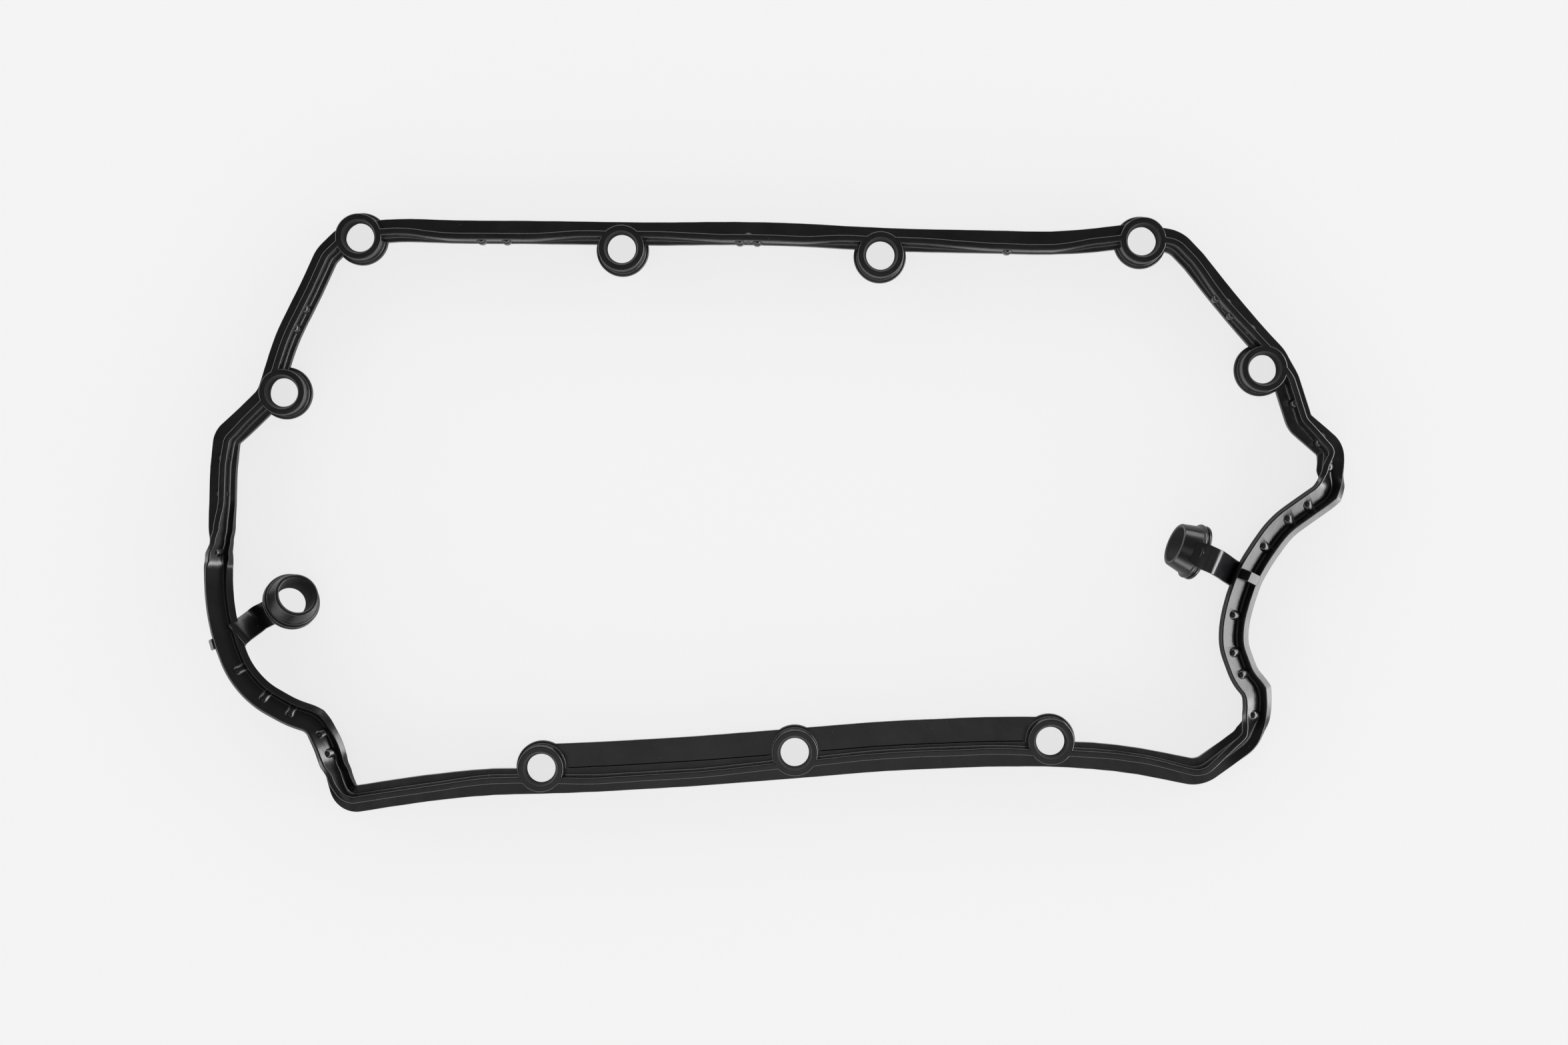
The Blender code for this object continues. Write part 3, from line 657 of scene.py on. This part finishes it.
# Straps that carry the tubes: middle line from a bolt, height, and share of the full width
strap = {
    "width": 8.6,
    "thickness": 1.5,
    "edgeRadius": 0.4,
    "arcPoints": 3,
    "pointsBetween": 5,
    "right": [
        ("right", -2.0, -71.5, 1.2, 1.0),
        ("right", -6.0, -69.7, 1.3, 1.0),
        ("right", -7.8, -68.9, 1.6, 1.0),
        ("right", -9.0, -68.4, 2.4, 1.0),
        ("right", -10.0, -67.9, 3.7, 1.0),
        ("right", -12.0, -67.0, 7.2, 1.0),
        ("right", -14.5, -65.8, 11.6, 1.0),
        ("right", -17.4, -64.54, 16.6, 1.0),
        ("right", -18.1, -64.23, 17.5, 1.0),
        ("right", -19.0, -63.84, 17.95, 1.0),
        ("right", -20.5, -63.18, 18.05, 1.0),
        ("right", -22.4, -62.34, 18.1, 1.0),
        ("right", -25.6, -60.8, 17.4, 0.9),
    ],
    "left": [
        ("left", -17.0, -83.0, 3.2, 1.0),
        ("left", -16.0, -82.1, 5.2, 1.0),
        ("left", -15.1, -81.3, 7.3, 1.0),
        ("left", -14.3, -80.6, 8.6, 1.0),
        ("left", -13.6, -80.0, 8.7, 1.0),
        ("left", -12.9, -79.3, 8.0, 1.0),
        ("left", -10.4, -77.0, 4.6, 1.0),
        ("left", -9.7, -76.3, 3.6, 1.0),
        ("left", -9.1, -75.7, 3.1, 1.0),
        ("left", -8.3, -75.2, 3.5, 1.0),
        ("left", -6.6, -74.5, 5.0, 1.0),
        ("left", -3.9, -73.4, 8.2, 1.0),
        ("left", -1.6, -72.6, 9.8, 0.95),
    ],
}


def smoothRoute(points, between):
    # A curve through the points, from one straight on to the next with no corner
    padded = [points[0] * 2 - points[1], *points, points[-1] * 2 - points[-2]]
    found = []
    for first, second, third, fourth in zip(padded, padded[1:], padded[2:], padded[3:]):
        for step in range(between):
            t = step / between
            found.append(
                second
                + (third - first) * (t / 2)
                + (first * 2 - second * 5 + third * 4 - fourth) * (t * t / 2)
                + ((second - third) * 3 + fourth - first) * (t * t * t / 2)
            )
    return [*found, points[-1]]


def makeStrap(name, route):
    keys = [Vector((*placeFrom(*row[:3]), row[3], row[4])) for row in route]
    line = smoothRoute(keys, strap["pointsBetween"])
    rings = []
    for index, key in enumerate(line):
        ahead, behind = line[min(index + 1, len(line) - 1)], line[max(index - 1, 0)]
        along = (ahead.xyz - behind.xyz).normalized()
        across = Vector((along.y, -along.x, 0.0)).normalized()
        thick = across.cross(along)
        wide, half = strap["width"] * key.w / 2, strap["thickness"] / 2
        corners = [(-wide, -half), (wide, -half), (wide, half), (-wide, half)]
        rounded = [(*corner, strap["edgeRadius"]) for corner in corners]
        outline = roundedOutline(rounded, strap["arcPoints"])
        rings.append([key.xyz + across * point.x + thick * point.y for point in outline])
    return objectFrom(name, sweepRings(rings, False))


def combine(target, tool, operation):
    # Joins or cuts for good, then drops the tool
    step = target.modifiers.new(tool.name, "BOOLEAN")
    step.operation = operation
    step.solver = "MANIFOLD"
    step.object = tool
    graph = bpy.context.evaluated_depsgraph_get()
    data = bpy.data.meshes.new_from_object(target.evaluated_get(graph))
    target.modifiers.clear()
    target.data = data
    bpy.data.objects.remove(tool)


# The finished moulding
surface = {
    "unevenness": 0.05,
    "unevenLength": 5.0,
    # Plain noise is read at fixed shifts, since Blender's vector noise differs from run to run
    "shifts": [(0.0, 0.0, 0.0), (31.4, 12.7, 5.3), (-17.9, 44.1, 23.6)],
    "calmHeight": 1.0,  # the unevenness fades out over this height above the table
    "sharpFrom": 40.0,
    "flatWeight": 80,
    # A corner is in a hole if it is this near to its wall, past its foot or short of its mouth
    "coreGap": 0.25,
    "corePast": 0.5,
    "coreShort": 0.1,
}


def makeGasket():
    stations = runStations()
    outlines = [roundedOutline(sealOutline(station), seal["arcPoints"]) for station in stations]
    rings = [
        [inSpace(station, *point) for point in outline]
        for station, outline in zip(stations, outlines)
    ]
    gasket = objectFrom("MouldedGasket", sweepRings(rings, True))
    print("seal run:", len(stations), "sections,", len(gasket.data.polygons), "faces")
    tools = [
        makeEyelets(),
        makeWeb(stations),
        makeNubs(stations),
        makeLugs(stations),
        makeTube("RightTube", tube["right"]),
        makeTube("LeftTube", tube["left"]),
        makeStrap("RightStrap", strap["right"]),
        makeStrap("LeftStrap", strap["left"]),
    ]
    for tool in tools:
        print("joining", tool.name, len(tool.data.polygons), "faces")
        combine(gasket, tool, "UNION")
    combine(gasket, makeBoreCutters(), "DIFFERENCE")
    finishSurface(gasket)
    print("gasket:", len(gasket.data.polygons), "faces")
    return gasket


def tubeCore(spec):
    # Foot, way and end radii of a tube's hole
    place, axis = tubeStand(spec)
    return place, axis, tube["length"], tube["bore"] / 2, tube["mouth"] / 2


def insideCore(point, start, axis, length, startRadius, endRadius):
    # Whether a point lies on the wall of a hole that a core pin made
    offset = point / mm - start
    along = offset.dot(axis)
    radius = mix(startRadius, endRadius, along / length) + surface["coreGap"]
    between = -surface["corePast"] < along < length - surface["coreShort"]
    return between and (offset - axis * along).length < radius


def finishSurface(gasket):
    # Rubber is never quite true: a slight unevenness, kept off the face that lies on the table
    up, high, throat = Vector((0, 0, 1)), eyelet["throatHigh"], eyelet["throat"] / 2
    top, foot, above = eyelet["boreTop"] / 2, eyelet["boreFoot"] / 2, seal["height"] - high
    cores = [tubeCore(tube["right"]), tubeCore(tube["left"])]
    for bolt in bolts.values():
        cores.append((bolt.to_3d(), up, high, foot, throat))
        cores.append((Vector((*bolt, high)), up, above, throat, top))
    mesh = bmesh.new()
    mesh.from_mesh(gasket.data)
    bmesh.ops.remove_doubles(mesh, verts=mesh.verts, dist=jointGap)
    for vert in mesh.verts:
        spot = vert.co / (surface["unevenLength"] * mm)
        push = Vector([noise.noise(spot + Vector(shift)) for shift in surface["shifts"]])
        push *= surface["unevenness"] * mm
        push.z *= min(1.0, max(0.0, vert.co.z / (surface["calmHeight"] * mm)))
        vert.co += push
    cored = mesh.verts.layers.float.new("cored")
    for vert in mesh.verts:
        vert[cored] = float(any(insideCore(vert.co, *core) for core in cores))
    mesh.to_mesh(gasket.data)
    mesh.free()
    gasket.data.shade_smooth()
    gasket.data.set_sharp_from_angle(angle=math.radians(surface["sharpFrom"]))
    flats = gasket.modifiers.new("FlatFaceShading", "WEIGHTED_NORMAL")
    flats.mode = "FACE_AREA"
    flats.weight = surface["flatWeight"]
    flats.keep_sharp = True


def linear(hexColour):
    # The sRGB curve, from a hex colour to linear values
    channels = [int(hexColour[at : at + 2], 16) / 255 for at in (1, 3, 5)]
    return [c / 12.92 if c <= 0.04045 else ((c + 0.055) / 1.055) ** 2.4 for c in channels] + [1.0]


def addNode(tree, kind, settings=(), **sockets):
    # Adds a node; a socket is given a value, or an output to link from
    node = tree.nodes.new(kind)
    for name, value in dict(settings).items():
        setattr(node, name, value)
    for name, value in sockets.items():
        socket = node.inputs[name.replace("_", " ")]
        if isinstance(value, bpy.types.NodeSocket):
            tree.links.new(value, socket)
        else:
            socket.default_value = value
    return node


rubber = {
    "deep": "#0c0c0e",
    "bloom": "#141417",
    "dust": "#6d6b66",
    "ior": 1.52,
    "roughLow": 0.17,
    "roughHigh": 0.29,
    "roughInHoles": 0.7,
    "patch": 14.0,  # mm across a duller patch
    "patchDetail": 4.0,
    "patchBreak": 0.55,
    "patchLow": 0.3,  # span of the patch noise that the roughness runs over
    "patchHigh": 0.7,
    "grain": 0.55,  # mm across a grain of the mould's finish, drawn coarse enough to show
    "grainHeight": 0.012,
    "ripple": 3.0,
    "rippleHeight": 0.06,
    "bumpDetail": 2.0,
    "dustSpacing": 2.4,
    "dustSize": 0.16,
    "dustSolid": 0.4,  # share of a speck that is solid before its edge fades
    "dustFree": 0.8,  # share of the cells that hold no speck
}


def makeRubber():
    # Moulded synthetic rubber: nearly black from its carbon filler, an even satin sheen off the
    # mould, duller in patches where the surface has bloomed, with a little lint and dust on it
    material = bpy.data.materials.new("mouldedBlackRubber")
    material.use_nodes = True
    tree = material.node_tree
    shader = tree.nodes["Principled BSDF"]
    shader.inputs["IOR"].default_value = rubber["ior"]
    shader.inputs["Metallic"].default_value = 0.0
    place = addNode(tree, "ShaderNodeTexCoord").outputs["Object"]
    patch = addNode(
        tree,
        "ShaderNodeTexNoise",
        Vector=place,
        Scale=1 / (rubber["patch"] * mm),
        Detail=rubber["patchDetail"],
        Roughness=rubber["patchBreak"],
    )
    tone = addNode(tree, "ShaderNodeMix", {"data_type": "RGBA"})
    tree.links.new(patch.outputs["Fac"], tone.inputs["Factor"])
    tone.inputs[6].default_value = linear(rubber["deep"])
    tone.inputs[7].default_value = linear(rubber["bloom"])
    spacing, size = rubber["dustSpacing"], rubber["dustSize"]
    cells = addNode(tree, "ShaderNodeTexVoronoi", Vector=place, Scale=1 / (spacing * mm))
    speck = addNode(tree, "ShaderNodeMapRange", Value=cells.outputs["Distance"])
    speck.inputs["From Min"].default_value = size / spacing
    speck.inputs["From Max"].default_value = rubber["dustSolid"] * size / spacing
    chance = addNode(tree, "ShaderNodeSeparateColor", Color=cells.outputs["Color"])
    some = addNode(tree, "ShaderNodeMath", {"operation": "GREATER_THAN"})
    tree.links.new(chance.outputs["Red"], some.inputs[0])
    some.inputs[1].default_value = rubber["dustFree"]
    dusty = addNode(tree, "ShaderNodeMath", {"operation": "MULTIPLY"})
    tree.links.new(speck.outputs["Result"], dusty.inputs[0])
    tree.links.new(some.outputs["Value"], dusty.inputs[1])
    colour = addNode(tree, "ShaderNodeMix", {"data_type": "RGBA"})
    tree.links.new(dusty.outputs["Value"], colour.inputs["Factor"])
    tree.links.new(tone.outputs[2], colour.inputs[6])
    colour.inputs[7].default_value = linear(rubber["dust"])
    tree.links.new(colour.outputs[2], shader.inputs["Base Color"])
    rough = addNode(tree, "ShaderNodeMapRange", Value=patch.outputs["Fac"])
    rough.inputs["From Min"].default_value = rubber["patchLow"]
    rough.inputs["From Max"].default_value = rubber["patchHigh"]
    rough.inputs["To Min"].default_value = rubber["roughLow"]
    rough.inputs["To Max"].default_value = rubber["roughHigh"]
    core = addNode(tree, "ShaderNodeAttribute", {"attribute_name": "cored"})
    duller = addNode(tree, "ShaderNodeMix", {"data_type": "FLOAT"}, Factor=core.outputs["Fac"])
    tree.links.new(rough.outputs["Result"], duller.inputs["A"])
    duller.inputs["B"].default_value = rubber["roughInHoles"]
    tree.links.new(duller.outputs["Result"], shader.inputs["Roughness"])
    bumped = None
    for name in ("ripple", "grain"):
        relief = addNode(
            tree,
            "ShaderNodeTexNoise",
            Vector=place,
            Scale=1 / (rubber[name] * mm),
            Detail=rubber["bumpDetail"],
        )
        height = rubber[name + "Height"] * mm
        bump = addNode(
            tree, "ShaderNodeBump", Height=relief.outputs["Fac"], Strength=1.0, Distance=height
        )
        if bumped is not None:
            tree.links.new(bumped, bump.inputs["Normal"])
        bumped = bump.outputs["Normal"]
    tree.links.new(bumped, shader.inputs["Normal"])
    return material


table = {
    "colour": "#f4f4f4",
    "rough": 0.9,
    "gloss": 0.2,
    "side": 1.6,  # metres
    "gap": 0.02,
    "whiteShare": 0.75,  # plain white mixed in where the camera sees it
    "mirroredShare": 0.3,  # and where the rubber mirrors it
}


def makeTable():
    mesh = bmesh.new()
    bmesh.ops.create_grid(mesh, x_segments=1, y_segments=1, size=table["side"] / 2)
    bmesh.ops.translate(mesh, vec=(0, 0, -table["gap"] * mm), verts=mesh.verts)
    made = objectFrom("Table", mesh)
    # Matt white card: rough, with no gloss to speak of
    card = bpy.data.materials.new("mattWhiteCard")
    card.use_nodes = True
    shader = card.node_tree.nodes["Principled BSDF"]
    shader.inputs["Base Color"].default_value = linear(table["colour"])
    shader.inputs["Roughness"].default_value = table["rough"]
    shader.inputs["Specular IOR Level"].default_value = table["gloss"]
    tree = card.node_tree
    plain = addNode(tree, "ShaderNodeEmission", Strength=1.0)
    ray = addNode(tree, "ShaderNodeLightPath")
    mirrored = addNode(tree, "ShaderNodeMath", {"operation": "MULTIPLY"})
    tree.links.new(ray.outputs["Is Glossy Ray"], mirrored.inputs[0])
    mirrored.inputs[1].default_value = table["mirroredShare"]
    share = addNode(tree, "ShaderNodeMath", {"operation": "MULTIPLY_ADD"})
    tree.links.new(ray.outputs["Is Camera Ray"], share.inputs[0])
    share.inputs[1].default_value = table["whiteShare"]
    tree.links.new(mirrored.outputs["Value"], share.inputs[2])
    seen = addNode(tree, "ShaderNodeMixShader", Fac=share.outputs["Value"])
    tree.links.new(shader.outputs["BSDF"], seen.inputs[1])
    tree.links.new(plain.outputs["Emission"], seen.inputs[2])
    tree.links.new(seen.outputs["Shader"], tree.nodes["Material Output"].inputs["Surface"])
    made.data.materials.append(card)
    return made


light = {
    "white": (1, 1, 1, 1),
    "overhead": 0.16,
    "above": 0.6,  # a large soft box over the table, and the way that it is from there
    "aboveWay": (0.0, -0.22, 0.975),
    "aboveFull": 6.0,  # degrees off that way, where it is full and where it has faded out
    "aboveOut": 21.0,
    "horizon": 4.2,
    "ringTop": 28.0,  # degrees above level at which the bright ring has faded out
    "ringFull": 12.0,
    "place": (0.38, -0.10, 0.11),  # middle of the low lamp, in metres, as the next two are
    "facing": (0.0, -0.10, 0.11),
    "size": (0.56, 0.16),
    "power": 2.2,
}


def lightScene():
    # A dim ceiling with a soft box in it, a bright ring of low light, and one low lamp at the right
    world = bpy.data.worlds.new("SoftStudio")
    bpy.context.scene.world = world
    world.use_nodes = True
    tree = world.node_tree
    way = addNode(tree, "ShaderNodeTexCoord")
    rise = addNode(tree, "ShaderNodeSeparateXYZ", Vector=way.outputs["Generated"])
    smooth = {"interpolation_type": "SMOOTHSTEP"}
    low = addNode(tree, "ShaderNodeMapRange", smooth, Value=rise.outputs["Z"])
    low.inputs["From Min"].default_value = math.sin(math.radians(light["ringFull"]))
    low.inputs["From Max"].default_value = math.sin(math.radians(light["ringTop"]))
    low.inputs["To Min"].default_value = light["horizon"]
    low.inputs["To Max"].default_value = light["overhead"]
    nearBox = addNode(tree, "ShaderNodeVectorMath", {"operation": "DOT_PRODUCT"})
    tree.links.new(way.outputs["Generated"], nearBox.inputs[0])
    nearBox.inputs[1].default_value = Vector(light["aboveWay"]).normalized()
    box = addNode(tree, "ShaderNodeMapRange", smooth, Value=nearBox.outputs["Value"])
    box.inputs["From Min"].default_value = math.cos(math.radians(light["aboveOut"]))
    box.inputs["From Max"].default_value = math.cos(math.radians(light["aboveFull"]))
    box.inputs["To Max"].default_value = light["above"]
    both = addNode(tree, "ShaderNodeMath", {"operation": "ADD"})
    tree.links.new(low.outputs["Result"], both.inputs[0])
    tree.links.new(box.outputs["Result"], both.inputs[1])
    room = tree.nodes["Background"]
    room.inputs["Color"].default_value = light["white"]
    tree.links.new(both.outputs["Value"], room.inputs["Strength"])
    seen = addNode(tree, "ShaderNodeBackground", Strength=1.0)
    seen.inputs["Color"].default_value = light["white"]
    ray = addNode(tree, "ShaderNodeLightPath")
    pick = addNode(tree, "ShaderNodeMixShader", Fac=ray.outputs["Is Camera Ray"])
    tree.links.new(room.outputs["Background"], pick.inputs[1])
    tree.links.new(seen.outputs["Background"], pick.inputs[2])
    tree.links.new(pick.outputs["Shader"], tree.nodes["World Output"].inputs["Surface"])
    data = bpy.data.lights.new("LowSoftBox", "AREA")
    data.shape = "RECTANGLE"
    data.size, data.size_y = light["size"]
    data.energy = light["power"]
    lamp = bpy.data.objects.new("LowSoftBox", data)
    bpy.context.scene.collection.objects.link(lamp)
    lamp.visible_camera = False  # it is there for the rubber's sheen, and leaves the table even
    lamp.visible_diffuse = False
    lamp.location = light["place"]
    toward = lamp.location - Vector(light["facing"])
    lamp.rotation_euler = toward.to_track_quat("Z", "Y").to_euler()


camera = {
    "place": (2.7, -3.45),  # the photograph's middle on the table
    "height": 690.0,
    "mmPerPixel": 0.2245,
    "frameWidth": 2352,
    "sensor": 36.0,
    "clipStart": 0.01,  # metres
}


def makeCamera():
    data = bpy.data.cameras.new("Camera")
    data.sensor_width = camera["sensor"]
    seen = camera["frameWidth"] * camera["mmPerPixel"]
    data.lens = camera["sensor"] * camera["height"] / seen
    data.clip_start = camera["clipStart"]
    made = bpy.data.objects.new("Camera", data)
    bpy.context.scene.collection.objects.link(made)
    made.location = Vector((*camera["place"], camera["height"])) * mm
    bpy.context.scene.camera = made


makeCamera()
gasket = makeGasket()
gasket.data.materials.clear()
gasket.data.materials.append(makeRubber())
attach(gasket, "root")
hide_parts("gasket")
makeTable()
lightScene()
bpy.context.scene.view_settings.view_transform = "Standard"
print("scene ready")
